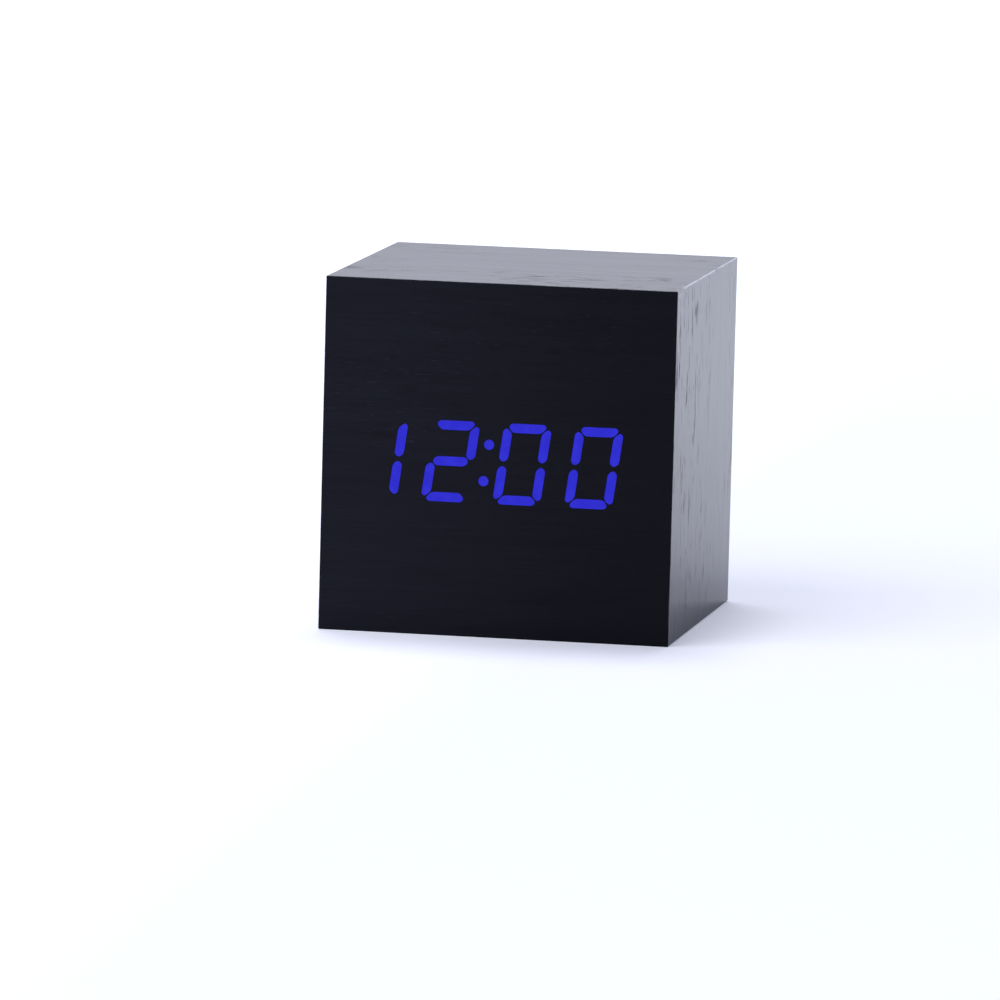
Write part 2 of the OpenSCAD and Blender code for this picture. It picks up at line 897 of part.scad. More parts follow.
module plate_screw_places() {
  for (s = [-1, 1])
    on_plate(s * plate_screw_x, plate_face_y, 0)
      children();
}

module control_boss_places(y) {
  for (x = control_boss_x, z = [-1, 1])
    on_plate(x, y, z * control_boss_z)
      children();
}

module control_screw_places() {
  control_boss_places(control_board_y - pcb_t)
    rotate([180, 0, 0])
      children();
}

module skirt_face(inset) {
  rounded_rect([opening_w - 2 * (seat_gap + inset), opening_h - 2 * (seat_gap + inset)],
               opening_corner_r - inset);
}

module control_plate() {
  color(plastic)
    difference() {
      union() {
        on_plate(0, plate_under_y, 0)
          linear_extrude(flange_t)
            rounded_rect([plate_w, plate_h], plate_corner_r);
        on_plate(0, plate_under_y - skirt_d, 0)
          linear_extrude(skirt_d)
            difference() {
              skirt_face(0);
              skirt_face(skirt_wall);
            }
        control_boss_places(control_board_y)
          cylinder(r = control_boss_r, h = boss_l);
      }
      for (x = button_x)
        on_plate(x, plate_under_y - past, 0)
          cylinder(r = button_d / 2 + button_gap, h = flange_t + 2 * past);
      for (x = button_x)
        on_plate(x, plate_face_y - dish_depth, 0)
          cylinder(r1 = button_d / 2 + button_gap, r2 = dish_r, h = dish_depth + touch_gap / 2);
      on_plate(microphone_x, plate_under_y - past, 0)
        cylinder(r = microphone_hole_r, h = flange_t + 2 * past);
      on_plate(jack_x, plate_under_y - past, 0)
        cylinder(r = jack_nose_r + seat_gap / 2, h = flange_t + 2 * past);
      plate_screw_places()
        wood_screw(screw_gap);
      control_screw_places()
        board_screw(screw_gap);
    }
}

module plate_screws() {
  color(steel)
    plate_screw_places()
      slotted_wood_screw();
}

module button(x) {
  cap_l = plate_face_y - button_face_drop - plate_under_y + button_stop_gap;
  difference() {
    on_plate(x, plate_under_y - button_stop_gap, 0)
      rotate_extrude()
        polygon([
          [0, -button_flange_t], [button_flange_r, -button_flange_t], [button_flange_r, 0],
          [button_d / 2, 0], [button_d / 2, cap_l - button_chamfer],
          [button_d / 2 - button_chamfer, cap_l], [0, cap_l]
        ]);
    on_plate(x, plate_face_y - button_face_drop - button_mark, 0)
      linear_extrude(past)
        children();
  }
}

module set_button() {
  color(plastic)
    button(button_x[0])
      circle(round_mark_r);
}

// Seen from behind, a drawing on the plate has y pointing down, so the corner of the up mark is at -y
module up_button() {
  color(plastic)
    button(button_x[1])
      rotate([0, 0, -90])
        circle(arrow_mark_r, $fn = 3);
}

module down_button() {
  color(plastic)
    button(button_x[2])
      rotate([0, 0, 90])
        circle(arrow_mark_r, $fn = 3);
}

module plunger(x) {
  color(black)
    on_plate(x, control_board_y + switch_t - plunger_in, 0)
      cylinder(r = plunger_r, h = plunger_in + plunger_out);
}

module set_plunger() {
  plunger(button_x[0]);
}

module up_plunger() {
  plunger(button_x[1]);
}

module down_plunger() {
  plunger(button_x[2]);
}

module switch_bodies() {
  color(steel)
    for (x = button_x)
      difference() {
        on_plate(x, control_board_y, 0)
          box_at([switch_size, switch_size, switch_t], [0, 0, 0]);
        on_plate(x, control_board_y + switch_t - plunger_well, 0)
          cylinder(r = plunger_r + plunger_gap, h = plunger_well + past);
      }
}

module control_board() {
  notch_w = jack_w + 2 * notch_gap;
  color(green)
    difference() {
      on_plate(0, control_board_y - pcb_t, 0)
        box_at([control_board_w, control_board_h, pcb_t], [0, 0, 0]);
      on_plate(jack_x - notch_w / 2, control_board_y - pcb_t - past, 0)
        translate([0, -notch_w / 2, 0])
          cube([control_board_w, notch_w, pcb_t + 2 * past]);
      control_screw_places()
        board_screw(screw_gap);
    }
}

module control_board_screws() {
  color(steel)
    control_screw_places()
      slotted_board_screw();
}

module power_jack() {
  color(black)
    difference() {
      union() {
        on_plate(jack_x, jack_back_y, 0)
          box_at([jack_w, jack_w, plate_under_y - jack_back_y], [0, 0, 0]);
        on_plate(jack_x, plate_under_y - past, 0)
          cylinder(r = jack_nose_r, h = jack_mouth_y - plate_under_y + past);
        on_plate(jack_x, control_board_y, 0)
          box_at([jack_lug_w, jack_lug_h, jack_lug_t], [0, 0, 0]);
      }
      on_plate(jack_x, jack_mouth_y - socket_depth, 0)
        cylinder(r = socket_d / 2, h = socket_depth + past);
    }
}

module jack_pin() {
  color(steel)
    on_plate(jack_x, jack_mouth_y - socket_depth, 0) {
      cylinder(r = socket_pin_d / 2, h = socket_depth - jack_pin_drop - socket_pin_d / 2);
      translate([0, 0, socket_depth - jack_pin_drop - socket_pin_d / 2])
        sphere(socket_pin_d / 2);
    }
}

module microphone() {
  color(steel) {
    on_plate(microphone_x, plate_under_y - microphone_t, 0)
      cylinder(r = microphone_r, h = microphone_t);
    for (s = [-1, 1])
      on_plate(microphone_x + s * microphone_lead_pitch / 2, control_board_y, 0)
        cylinder(r = microphone_lead_r, h = boss_l - microphone_t + past);
  }
}

module key_cable() {
  p = smooth(cable_route, cable_steps);
  across = [for (i = [0:len(p) - 1]) let(t = heading(p, i)) [-t[1], t[0]] * cable_t / 2];
  upper = [for (i = [0:len(p) - 1]) p[i] + across[i]];
  lower = [for (i = [len(p) - 1:-1:0]) p[i] - across[i]];
  color(white)
    translate([key_header_x - cable_w / 2, 0, 0])
      rotate([90, 0, 90])
        linear_extrude(cable_w)
          polygon(concat(upper, lower));
}

// Batteries

module box_screw_places() {
  for (x = [-1, 1], y = [-1, 1])
    translate([x * box_screw_x, y * box_screw_y, base_recess])
      rotate([180, 0, 0])
        children();
}

module contact_pocket(s) {
  w = bay_y[2] - bay_y[0] + contact_w + 2 * contact_gap;
  x = s * (cavity_l / 2 - past / 2 + (contact_t + contact_gap) / 2);
  box_at([contact_t + contact_gap + past, w, contact_w + 2 * contact_gap],
         [x, 0, cell_z - contact_w / 2 - contact_gap]);
}

module tail_slot(s, y) {
  box_at([contact_t + contact_gap, tail_w + 4 * contact_gap, box_top_z + past - cell_z],
         [s * (cavity_l / 2 + (contact_t + contact_gap) / 2), y, cell_z]);
}

module battery_box() {
  color(plastic)
    difference() {
      union() {
        box_at([box_l, box_w, box_top_z - base_recess], [0, 0, base_recess]);
        translate([0, 0, base_recess])
          linear_extrude(flange_t)
            rounded_rect([box_flange_l, box_flange_w], box_corner_r);
      }
      box_at([cavity_l, cavity_w, cell_z + past], [0, 0, -past]);
      for (y = bay_y)
        translate([-cavity_l / 2, y, cell_z])
          rotate([0, 90, 0])
            cylinder(r = bay_r, h = cavity_l);
      for (s = [-1, 1])
        contact_pocket(s);
      tail_slot(1, bay_y[0]);
      tail_slot(-1, bay_y[2]);
      translate([0, hinge_y, hinge_z])
        rotate([0, 90, 0])
          cylinder(r = hinge_pin_d / 2 + run_gap, h = cavity_l + 2 * hinge_hole_l, center = true);
      box_at([tongue_w, 2 * box_wall, keeper_h], [0, cavity_w / 2, door_z + door_t]);
      translate([0, cavity_w / 2, 0])
        cylinder(r = finger_r, h = base_recess + finger_depth);
      box_screw_places()
        wood_screw(screw_gap);
    }
}

module box_screws() {
  color(steel)
    box_screw_places()
      slotted_wood_screw();
}

module tongue_lip() {
  w = tongue_w - tongue_slot;
  top_z = door_z + door_t + tongue_lip_h;
  nub_z = door_z + door_t + keeper_h / 2;
  translate([-w / 2, 0, 0])
    rotate([90, 0, 90])
      linear_extrude(w)
        polygon([
          [door_back_y - tongue_lip_t, door_z], [door_back_y, door_z],
          [door_back_y, nub_z - keeper_h / 2], [door_back_y + tongue_nub, nub_z],
          [door_back_y, nub_z + keeper_h / 2], [door_back_y, top_z],
          [door_back_y - tongue_lip_t, top_z]
        ]);
}

module battery_door() {
  color(plastic) {
    difference() {
      translate([-door_l / 2, hinge_y, door_z])
        cube([door_l, door_back_y - hinge_y, door_t]);
      for (s = [-1, 1])
        box_at([tongue_slot, 2 * tongue_l, door_t + 2 * past],
               [s * tongue_w / 2, door_back_y, door_z - past]);
    }
    tongue_lip();
    for (i = [0:grip_count - 1])
      box_at([grip_w, grip_t, grip_rise + door_t / 2],
             [0, door_back_y - grip_inset - i * grip_pitch, door_z - grip_rise]);
    translate([0, hinge_y, hinge_z])
      rotate([0, 90, 0]) {
        cylinder(r = hinge_r, h = door_l, center = true);
        cylinder(r = hinge_pin_d / 2, h = cavity_l + 2 * hinge_pin_l, center = true);
      }
  }
}

module battery_cells() {
  color(jacket)
    for (i = [0:len(bay_y) - 1])
      translate([cell_dir[i] * (cavity_l / 2 - touch_gap), bay_y[i], cell_z])
        rotate([0, -90 * cell_dir[i], 0])
          rotate_extrude()
            polygon([
              [0, 0], [tip_r, 0], [tip_r, tip_l], [cell_r - cell_edge_r, tip_l],
              [cell_r, tip_l + cell_edge_r], [cell_r, cell_l - cell_edge_r],
              [cell_r - cell_edge_r, cell_l], [0, cell_l]
            ]);
}

function spring_points() =
  let(n = spring_turns * spring_steps, reach = spring_l - spring_wire - 3 * touch_gap)
  [for (i = [0:n])
    let(
      a = 360 * i / spring_steps,
      r = spring_wide_r + (spring_narrow_r - spring_wide_r) * i / n
    )
    [touch_gap + spring_wire / 2 + reach * i / n, r * cos(a), r * sin(a)]];

// Least distance between points of the coil that are more than half a turn apart, less the wire
function spring_self_gap(p) =
  min([for (i = [0:len(p) - 1]) for (j = [i + spring_steps / 2:len(p) - 1]) norm(p[i] - p[j])]) - spring_wire;

module contact_springs() {
  p = spring_points();
  echo(spring_self_gap = spring_self_gap(p));
  color(steel)
    for (i = [0:len(bay_y) - 1])
      translate([-cell_dir[i] * cavity_l / 2, bay_y[i], cell_z])
        rotate([0, 0, cell_dir[i] > 0 ? 0 : 180])
          tube(p, spring_wire / 2, spring_sides);
}

module contact(s, from_y, to_y) {
  x = s * (cavity_l / 2 + contact_t / 2 + contact_gap / 2);
  box_at([contact_t, to_y - from_y + contact_w, contact_w], [x, (from_y + to_y) / 2, cell_z - contact_w / 2]);
}

module tail(s, y) {
  box_at([contact_t, tail_w, tail_top_z - cell_z], [s * tail_x, y, cell_z]);
}

module positive_contact() {
  color(steel) {
    contact(1, bay_y[0], bay_y[0]);
    tail(1, bay_y[0]);
  }
}

module negative_contact() {
  color(steel) {
    contact(-1, bay_y[2], bay_y[2]);
    tail(-1, bay_y[2]);
  }
}

module left_link_contact() {
  color(steel)
    contact(-1, bay_y[0], bay_y[1]);
}

module right_link_contact() {
  color(steel)
    contact(1, bay_y[1], bay_y[2]);
}

module red_lead() {
  color(red)
    tube(smooth(red_route, lead_steps), lead_d / 2, lead_sides);
}

module black_lead() {
  color(black)
    tube(smooth(black_route, lead_steps), lead_d / 2, lead_sides);
}

top_panel();
bottom_panel();
left_panel();
right_panel();
front_panel();
rear_panel();
front_film();
lit_segments();
unlit_segments();
segment_mask();
display_board();
led_chips();
display_screws();
clock_chip();
crystal();
buzzer();
capacitor();
driver_transistors();
resistors();
battery_header();
key_header();
control_plate();
plate_screws();
set_button();
up_button();
down_button();
set_plunger();
up_plunger();
down_plunger();
switch_bodies();
control_board();
control_board_screws();
power_jack();
jack_pin();
microphone();
key_cable();
battery_box();
box_screws();
battery_door();
battery_cells();
contact_springs();
positive_contact();
negative_contact();
left_link_contact();
right_link_contact();
red_lead();
black_lead();
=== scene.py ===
import math

import bpy
from mathutils import Matrix, Vector


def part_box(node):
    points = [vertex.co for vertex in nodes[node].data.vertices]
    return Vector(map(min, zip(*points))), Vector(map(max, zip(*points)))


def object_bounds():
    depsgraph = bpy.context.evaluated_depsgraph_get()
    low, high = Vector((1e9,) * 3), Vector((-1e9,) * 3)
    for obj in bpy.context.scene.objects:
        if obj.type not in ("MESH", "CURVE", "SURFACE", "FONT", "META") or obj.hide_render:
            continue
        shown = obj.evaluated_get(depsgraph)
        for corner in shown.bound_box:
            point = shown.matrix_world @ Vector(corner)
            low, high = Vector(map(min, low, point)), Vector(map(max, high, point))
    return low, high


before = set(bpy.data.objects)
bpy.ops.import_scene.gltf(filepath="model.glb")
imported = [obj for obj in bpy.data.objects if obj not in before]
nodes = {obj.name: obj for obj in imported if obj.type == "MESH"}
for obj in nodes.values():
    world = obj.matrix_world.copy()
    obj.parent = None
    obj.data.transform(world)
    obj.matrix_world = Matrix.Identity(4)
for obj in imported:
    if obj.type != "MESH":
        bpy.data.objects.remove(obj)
cad_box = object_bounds()
scene = bpy.context.scene
scene.view_settings.view_transform = "Standard"

# Outer faces of the cube
LOW, HIGH = (Vector(corner) for corner in cad_box)


# Node helpers

def put(tree, socket, value):
    if isinstance(value, bpy.types.NodeSocket):
        tree.links.new(value, socket)
    else:
        socket.default_value = value


def add(tree, kind, inputs=None, **settings):
    node = tree.nodes.new(kind)
    for name, value in settings.items():
        setattr(node, name, value)
    for name, value in (inputs or {}).items():
        put(tree, node.inputs[name], value)
    return node


def calc(tree, operation, a, b=0.0, clamp=False):
    node = add(tree, "ShaderNodeMath", {0: a, 1: b}, operation=operation, use_clamp=clamp)
    return node.outputs[0]


def vector_value(tree, operation, inputs):
    node = add(tree, "ShaderNodeVectorMath", inputs, operation=operation)
    return node.outputs["Value"]


def spread(tree, value, low, high, to_low=0.0, to_high=1.0):
    """Carries value from low..high to to_low..to_high, smoothly, and holds it there."""
    inputs = {"Value": value, "From Min": low, "From Max": high, "To Min": to_low, "To Max": to_high}
    node = add(tree, "ShaderNodeMapRange", inputs, interpolation_type="SMOOTHSTEP")
    return node.outputs["Result"]


def place(tree):
    """The point on the object, in metres, which moves with its body."""
    return add(tree, "ShaderNodeTexCoord").outputs["Object"]


def axes(tree):
    split = add(tree, "ShaderNodeSeparateXYZ", {0: place(tree)})
    return split.outputs[0], split.outputs[1], split.outputs[2]


def even(scale):
    return (scale, scale, scale)


def noise(tree, scale, detail=3.0, shift=0.0, roughness=0.55):
    """Noise whose features are about 1 / scale metres long on each axis."""
    inputs = {"Vector": place(tree), "Scale": scale, "Location": even(shift)}
    point = add(tree, "ShaderNodeMapping", inputs).outputs[0]
    inputs = {"Vector": point, "Scale": 1.0, "Detail": detail, "Roughness": roughness}
    return add(tree, "ShaderNodeTexNoise", inputs).outputs["Fac"]


def mix(tree, factor, a, b):
    node = add(tree, "ShaderNodeMix", {0: factor}, data_type="RGBA")
    put(tree, node.inputs[6], a)
    put(tree, node.inputs[7], b)
    return node.outputs[2]


def bump(tree, height, strength, distance):
    inputs = {"Height": height, "Strength": strength, "Distance": distance}
    return add(tree, "ShaderNodeBump", inputs).outputs[0]


def rgb(r, g, b):
    return (r, g, b, 1.0)


def finish(name, **sockets):
    """A material, its node tree and its shader, with the sockets that are the same all over."""
    material = bpy.data.materials.new(name)
    material.use_nodes = True
    tree = material.node_tree
    shader = tree.nodes["Principled BSDF"]
    for socket, value in sockets.items():
        shader.inputs[socket.replace("_", " ")].default_value = value
    return material, tree, shader


def shade(tree, shader, color=None, roughness=None, normal=None):
    for socket, value in (("Base Color", color), ("Roughness", roughness), ("Normal", normal)):
        if value is not None:
            put(tree, shader.inputs[socket], value)


def dress(material, *names):
    for name in names:
        mesh = nodes[name].data
        mesh.materials.clear()
        mesh.materials.append(material)


# Black wood: a satin grain film with fine streaks, short dull pores, worn edges, a painted edge
# highlight and painted light

# Pale grey of the rubbed film and of the painted edge highlight
WORN_AND_HIGHLIGHT = rgb(0.62, 0.62, 0.66)
CHIP = rgb(0.30, 0.29, 0.29)
PORE = rgb(0.0025, 0.0025, 0.0032)
FILM_DARK = rgb(0.0058, 0.0060, 0.0097)
FILM_LIGHT = rgb(0.0082, 0.0086, 0.0136)
WOOD_DARK = rgb(0.0030, 0.0031, 0.0042)
WOOD_LIGHT = rgb(0.0150, 0.0155, 0.0195)

# Distances from an edge, in metres, at which the wear, the painted highlight and the chips start and
# at which they are full
FAINT_WEAR = (0.00014, 0.00004)
EDGE_HIGHLIGHT = (0.00026, 0.00010)
CHIP_WEAR = (0.0030, 0.0012)
# How far the worn patches and the painted highlight wander
WEAR_AND_HIGHLIGHT_WANDER = 0.00055
# Stretches behind the front, in metres, over which the painted edge highlight sets in and the chips
# and the pores thin out
EDGE_HIGHLIGHT_STRETCH = (LOW.y + 0.004, LOW.y + 0.009)
CHIP_STRETCH = (LOW.y + 0.016, LOW.y + 0.009)
PORE_STRETCH = (LOW.y + 0.014, LOW.y + 0.034)

# Features of the grain per metre, along it and across it
BANDS = (14, 260)
RIPPLES = (32, 820)
STREAKS = (60, 3000)
PATCHES = (22, 55)
PORES = (180, 950)
FLECKS = (420, 4200)
# How much the streaks, and as much again the ripples, vary the roughness
ROUGH_DRIFT = 0.08
PORE_ROUGHNESS = 0.30
FLECK_LIFT = 2.2
X_AXIS, Z_AXIS = 0, 2


def wear_and_edge_highlight(tree):
    """Paler edges: film rubbed bare in patches along them, and a painted highlight in a line
    where the top meets the right side."""
    x, y, z = axes(tree)
    from_x = calc(tree, "SUBTRACT", HIGH.x, calc(tree, "ABSOLUTE", x))
    from_y = calc(tree, "SUBTRACT", HIGH.y, calc(tree, "ABSOLUTE", y))
    from_z = calc(tree, "SUBTRACT", HIGH.z, z)
    wave = calc(tree, "SUBTRACT", noise(tree, even(330), shift=3.0), 0.5)
    wave = calc(tree, "MULTIPLY", wave, WEAR_AND_HIGHLIGHT_WANDER)

    upright = calc(tree, "ADD", from_x, from_y)
    around_top = calc(tree, "ADD", calc(tree, "MINIMUM", from_x, from_y), from_z)
    nearest = calc(tree, "MINIMUM", upright, around_top)
    nearest = calc(tree, "ADD", nearest, calc(tree, "MULTIPLY", wave, 0.3))
    patches = spread(tree, noise(tree, even(150), 4.0, 8.0), 0.46, 0.60, to_high=0.20)
    faint = calc(tree, "MULTIPLY", spread(tree, nearest, *FAINT_WEAR), patches)

    # Painted highlight: a pale line along the edge between the top and the right side, fuller behind
    # the front
    right_top = calc(tree, "ADD", calc(tree, "SUBTRACT", HIGH.x, x), from_z)
    line = spread(tree, calc(tree, "ADD", right_top, wave), *EDGE_HIGHLIGHT)
    line = calc(tree, "MULTIPLY", line, spread(tree, y, *EDGE_HIGHLIGHT_STRETCH, 0.1, 0.9))
    return calc(tree, "MAXIMUM", faint, line)


def edge_chips(tree):
    """Small flakes off the film beside the top right edge, near its front end."""
    x, y, z = axes(tree)
    from_right = calc(tree, "SUBTRACT", HIGH.x, x)
    from_top = calc(tree, "SUBTRACT", HIGH.z, z)
    beside = spread(tree, calc(tree, "ADD", from_right, from_top), *CHIP_WEAR)
    near = calc(tree, "MULTIPLY", beside, spread(tree, y, *CHIP_STRETCH))
    flakes = spread(tree, noise(tree, (520, 260, 520), 2.0, 6.0), 0.60, 0.66)
    return calc(tree, "MULTIPLY", near, flakes)


def wood(name, along, dark, light, gloss, roughness, seed, figure=1.0, drift=0.0, bare=0.46):
    """Along is the axis of the grain, figure how strongly the pores show, drift how much paler
    the face is painted on the left, as painted light, and bare how much of the face has no pores."""
    material, tree, shader = finish(name, Specular_IOR_Level=gloss)

    def scale(feature):
        length, width = feature
        return tuple(length if axis == along else width for axis in range(3))

    x, y = axes(tree)[:2]
    bands = noise(tree, scale(BANDS), 3.0, seed)
    ripples = noise(tree, scale(RIPPLES), 2.0, seed + 1.0)
    streaks = noise(tree, scale(STREAKS), 3.0, seed + 2.0, 0.6)
    patches = spread(tree, noise(tree, scale(PATCHES), 2.0, seed + 5.0), bare, bare + 0.18)
    toward_front = spread(tree, y, *PORE_STRETCH, 1.0, 0.45)
    pores = spread(tree, noise(tree, scale(PORES), 2.0, seed + 7.0), 0.56, 0.70)
    pores = calc(tree, "MULTIPLY", pores, patches)
    pores = calc(tree, "MULTIPLY", pores, calc(tree, "MULTIPLY", toward_front, figure))
    flecks = spread(tree, noise(tree, scale(FLECKS), 1.0, seed + 9.0), 0.66, 0.76, to_high=0.8)
    flecks = calc(tree, "MULTIPLY", flecks, patches)

    grain = calc(tree, "MULTIPLY", bands, 0.45)
    grain = calc(tree, "ADD", grain, calc(tree, "MULTIPLY", streaks, 0.55))
    color = mix(tree, spread(tree, grain, 0.36, 0.62), dark, light)
    color = mix(tree, flecks, color, rgb(*(FLECK_LIFT * level for level in light[:3])))
    color = mix(tree, pores, color, PORE)
    # Painted light: the face is painted paler on the left and darker on the right
    if drift:
        painted_light = spread(tree, x, LOW.x, HIGH.x, 1.0 + drift, 1.0 - drift)
        inputs = {0: color, "Scale": painted_light}
        color = add(tree, "ShaderNodeVectorMath", inputs, operation="SCALE").outputs[0]
    color = mix(tree, edge_chips(tree), color, CHIP)
    # Wear patches and the painted edge highlight
    color = mix(tree, wear_and_edge_highlight(tree), color, WORN_AND_HIGHLIGHT)

    rough = calc(tree, "MULTIPLY", streaks, ROUGH_DRIFT)
    rough = calc(tree, "ADD", rough, roughness - ROUGH_DRIFT)
    rough = calc(tree, "ADD", rough, calc(tree, "MULTIPLY", ripples, ROUGH_DRIFT))
    rough = calc(tree, "ADD", rough, calc(tree, "MULTIPLY", pores, PORE_ROUGHNESS), clamp=True)
    height = calc(tree, "SUBTRACT", calc(tree, "MULTIPLY", streaks, 0.30), pores)
    shade(tree, shader, color, rough, bump(tree, height, strength=0.35, distance=0.00002))
    return material


# The front film is painted paler on the left, as painted light
film = wood("grain_film", X_AXIS, FILM_DARK, FILM_LIGHT, gloss=0.08, roughness=0.45, seed=1.0,
            figure=0.30, drift=0.38)
dress(film, "front_film", "unlit_segments")
flat_grain = wood("wood_flat_grain", X_AXIS, WOOD_DARK, WOOD_LIGHT, gloss=0.45, roughness=0.26,
                  seed=11.0)
dress(flat_grain, "top_panel", "bottom_panel")
back_grain = wood("wood_back_grain", X_AXIS, WOOD_DARK, WOOD_LIGHT, gloss=0.35, roughness=0.42,
                  seed=31.0)
dress(back_grain, "front_panel", "rear_panel")
side_grain = wood("wood_side_grain", Z_AXIS, WOOD_DARK, WOOD_LIGHT, gloss=0.45, roughness=0.17,
                  seed=23.0, figure=0.8, bare=0.38)
dress(side_grain, "left_panel", "right_panel")


# Light bars: blue light through a thin film, very slightly uneven

def light_bars():
    material, tree, shader = finish("blue_light", Roughness=0.5, Specular_IOR_Level=0.1)
    glow = spread(tree, noise(tree, even(420), 2.0), 0.3, 0.7)
    light = mix(tree, glow, rgb(0.020, 0.0185, 0.575), rgb(0.024, 0.0225, 0.625))
    put(tree, shader.inputs["Emission Color"], light)
    shader.inputs["Emission Strength"].default_value = 1.0
    shade(tree, shader, mix(tree, glow, rgb(0.004, 0.004, 0.02), rgb(0.006, 0.006, 0.03)))
    return material


dress(light_bars(), "lit_segments")


# Plastics and resin

PAINT = rgb(0.50, 0.50, 0.49)
# Depths below a cap's face, in metres, between which the floor of its mark lies
MARK_DEPTHS = (0.0001, 0.0004)


def sunk_mark(tree, face):
    """The flat floor of a mark that is sunk into a cap, whose face looks along +Y."""
    depth = calc(tree, "SUBTRACT", face, axes(tree)[1])
    below = calc(tree, "GREATER_THAN", depth, MARK_DEPTHS[0])
    below = calc(tree, "MULTIPLY", below, calc(tree, "LESS_THAN", depth, MARK_DEPTHS[1]))
    normal = add(tree, "ShaderNodeTexCoord").outputs["Normal"]
    outward = add(tree, "ShaderNodeSeparateXYZ", {0: normal}).outputs[1]
    return calc(tree, "MULTIPLY", below, calc(tree, "GREATER_THAN", outward, 0.9))


def plastic(name, dark, light, roughness, grain=5200.0, depth=0.000012, face=None):
    """Moulded plastic with the fine grain of a spark-eroded tool and faint handling marks.
    The marks sunk into a face, where it is given, are filled with pale paint."""
    material, tree, shader = finish(name, Specular_IOR_Level=0.4)
    fine = noise(tree, even(grain))
    rubbed = noise(tree, even(90), 4.0, 4.0)
    color = mix(tree, spread(tree, rubbed, 0.3, 0.7), dark, light)
    if face is not None:
        color = mix(tree, sunk_mark(tree, face), color, PAINT)
    rough = calc(tree, "ADD", calc(tree, "MULTIPLY", rubbed, 0.2), roughness - 0.1)
    shade(tree, shader, color, rough, bump(tree, fine, strength=0.5, distance=depth))
    return material


black_plastic = plastic("black_plastic", rgb(0.010, 0.010, 0.011), rgb(0.018, 0.018, 0.019), 0.50)
dress(black_plastic, "control_plate", "battery_box", "battery_door")
button_plastic = plastic("button_plastic", rgb(0.016, 0.016, 0.018), rgb(0.026, 0.026, 0.028), 0.40,
                         grain=2600.0, depth=0.000005, face=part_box("set_button")[1][1])
dress(button_plastic, "set_button", "up_button", "down_button")
black_resin = plastic("black_resin", rgb(0.008, 0.008, 0.009), rgb(0.016, 0.016, 0.017), 0.45)
dress(black_resin, "segment_mask", "clock_chip", "buzzer", "driver_transistors", "resistors",
      "power_jack", "set_plunger", "up_plunger", "down_plunger")
white_plastic = plastic("white_plastic", rgb(0.66, 0.64, 0.58), rgb(0.76, 0.74, 0.69), 0.42)
dress(white_plastic, "battery_header", "key_header", "led_chips")
red_insulation = plastic("red_insulation", rgb(0.42, 0.020, 0.014), rgb(0.52, 0.030, 0.020), 0.38,
                         grain=3000.0, depth=0.000006)
dress(red_insulation, "red_lead")
black_insulation = plastic("black_insulation", rgb(0.010, 0.010, 0.010), rgb(0.020, 0.020, 0.020),
                           0.38, grain=3000.0, depth=0.000006)
dress(black_insulation, "black_lead")

CABLE_WIRES = 5
CABLE_GROOVE = rgb(0.30, 0.30, 0.31)
CABLE_RIDGE = rgb(0.48, 0.48, 0.49)
CABLE_RED = rgb(0.45, 0.03, 0.02)


def ribbon():
    """Grey flat cable: one ridge for each wire, the first wire marked red."""
    material, tree, shader = finish("grey_cable", Specular_IOR_Level=0.35)
    low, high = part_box("key_cable")
    x = axes(tree)[0]
    pitch = (high[0] - low[0]) / CABLE_WIRES
    turn = calc(tree, "MULTIPLY", calc(tree, "SUBTRACT", x, low[0]), 2 * math.pi / pitch)
    ridge = calc(tree, "SUBTRACT", 1.0, calc(tree, "COSINE", turn))
    ridge = calc(tree, "MULTIPLY", ridge, 0.5)
    color = mix(tree, ridge, CABLE_GROOVE, CABLE_RIDGE)
    first = spread(tree, x, low[0] + pitch * 1.02, low[0] + pitch * 0.98)
    color = mix(tree, first, color, CABLE_RED)
    rough = spread(tree, noise(tree, even(300)), 0.2, 0.8, 0.4, 0.55)
    shade(tree, shader, color, rough, bump(tree, ridge, strength=0.8, distance=0.0002))
    return material


dress(ribbon(), "key_cable")

MASK_GREEN = rgb(0.006, 0.070, 0.030)
TRACK_GREEN = rgb(0.016, 0.125, 0.052)


def circuit_board():
    """Green solder mask over copper tracks that run in two directions."""
    material, tree, shader = finish("circuit_board", Specular_IOR_Level=0.5)
    point = add(tree, "ShaderNodeMapping", {"Vector": place(tree), "Scale": even(330)}).outputs[0]
    cells = add(tree, "ShaderNodeTexVoronoi", {"Vector": point, "Scale": 1.0},
                distance="CHEBYCHEV", feature="F1").outputs["Distance"]
    tracks = calc(tree, "PINGPONG", calc(tree, "MULTIPLY", cells, 3.0), 0.5)
    copper = spread(tree, tracks, 0.22, 0.30)
    color = mix(tree, copper, MASK_GREEN, TRACK_GREEN)
    rough = spread(tree, noise(tree, even(900)), 0.2, 0.8, 0.28, 0.42)
    shade(tree, shader, color, rough, bump(tree, copper, strength=0.6, distance=0.00004))
    return material


dress(circuit_board(), "display_board", "control_board")


# Metals

def metal(name, dark, light, roughness, scale):
    """Scale is that of the drawn marks on each axis."""
    material, tree, shader = finish(name, Metallic=1.0)
    drawn = noise(tree, scale, 4.0)
    spots = noise(tree, even(700), shift=6.0)
    color = mix(tree, spread(tree, spots, 0.3, 0.7), dark, light)
    rough = calc(tree, "ADD", calc(tree, "MULTIPLY", drawn, 0.22), roughness - 0.11)
    shade(tree, shader, color, rough, bump(tree, drawn, strength=0.4, distance=0.000006))
    return material


